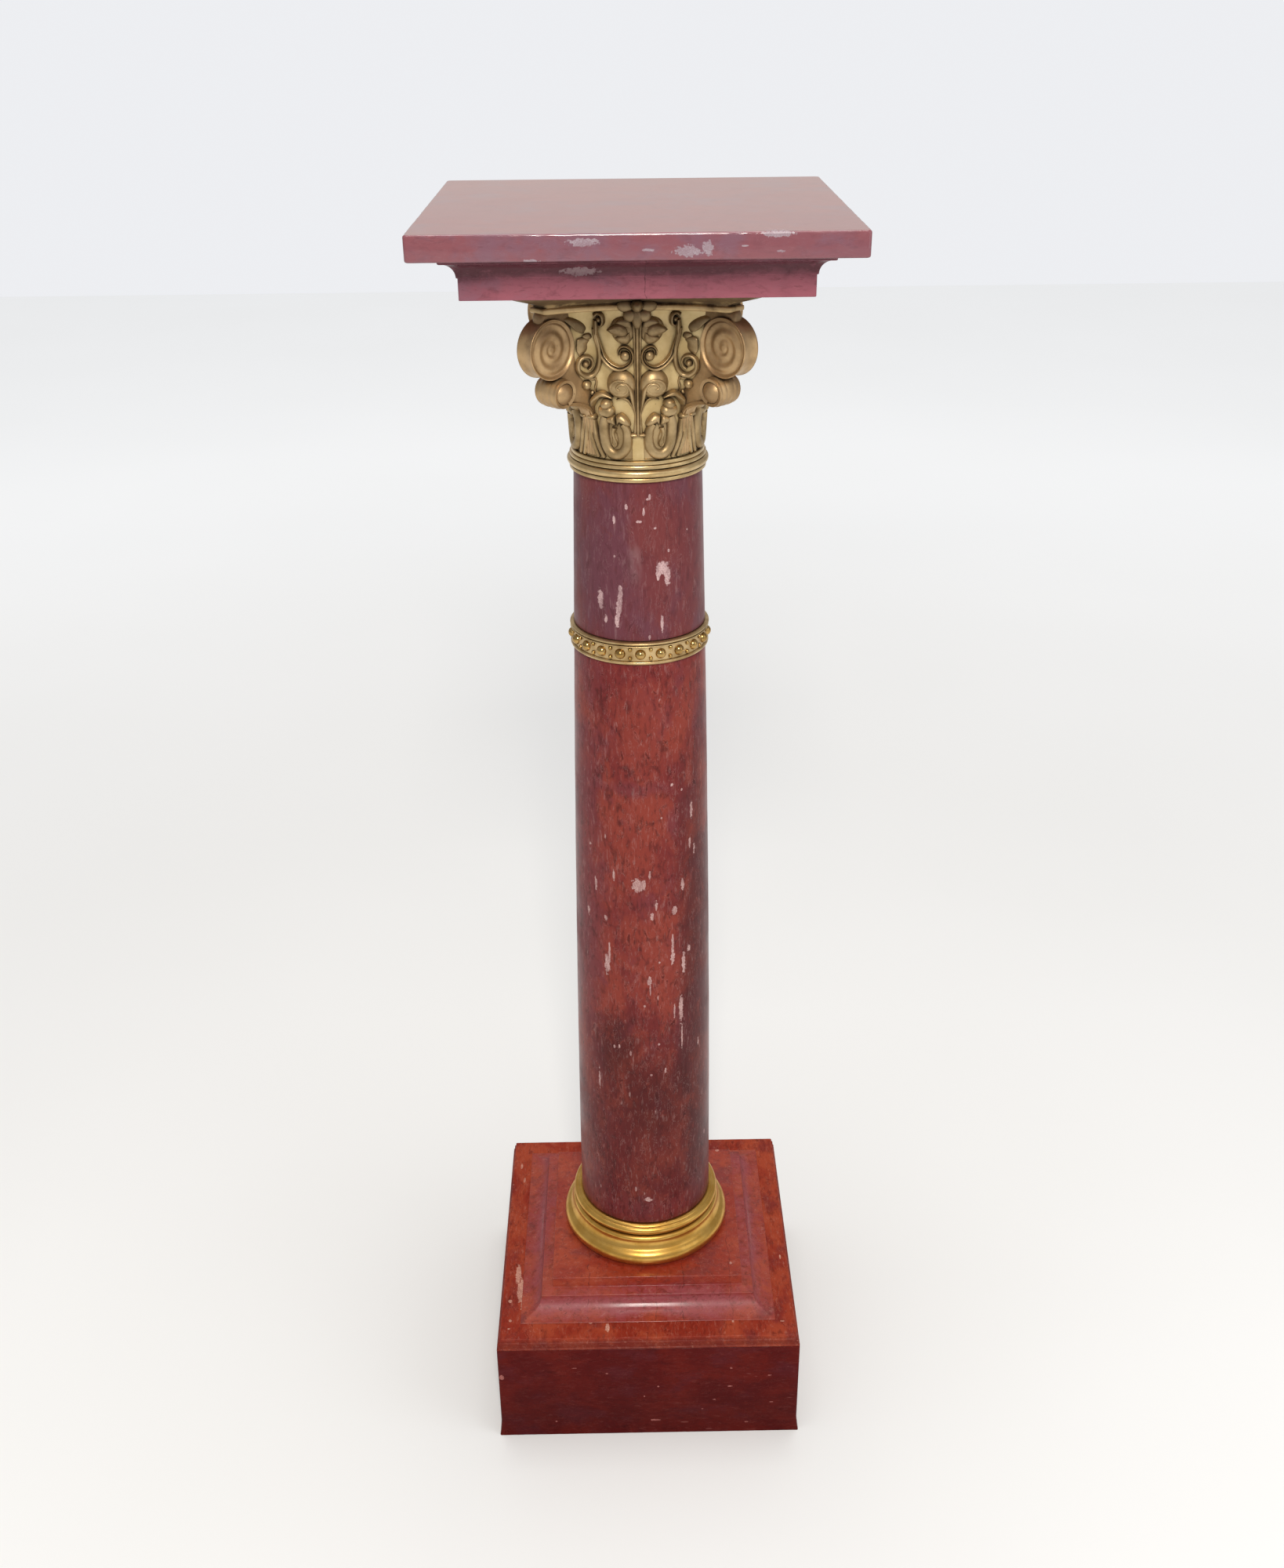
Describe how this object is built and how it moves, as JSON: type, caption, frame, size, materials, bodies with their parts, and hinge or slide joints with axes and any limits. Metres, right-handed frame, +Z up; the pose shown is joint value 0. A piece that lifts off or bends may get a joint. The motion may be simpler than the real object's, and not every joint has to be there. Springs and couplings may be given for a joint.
{
  "type": "marble pedestal column",
  "caption": "Tall pedestal column for showing a bust or vase: a square slab top, a gilt bronze capital, a tapering red marble shaft, a bronze base and a square plinth.",
  "frame": {"origin": "on the floor, under the middle of the square plinth", "axes": "+Z up along the shaft; -Y towards the front, +X to its right; all four sides are alike"},
  "size_m": [0.3, 0.3, 1.1],
  "materials": {
    "top_marble": "polished",
    "shaft_marble": "polished",
    "plinth_marble": "polished",
    "gilt_bronze": "gilt, worn and toned"
  },
  "bodies": {
    "root": {"plinth_block": "plinth_marble", "plinth_lid": "plinth_marble", "plinth_plate": "plinth_marble", "base_ring": "gilt_bronze", "shaft_lower": "shaft_marble", "beaded_ring": "gilt_bronze", "shaft_upper": "shaft_marble", "neck_ring": "gilt_bronze", "capital": "gilt_bronze", "top_moulding": "top_marble", "top_slab": "top_marble"}
  },
  "joints": []
}
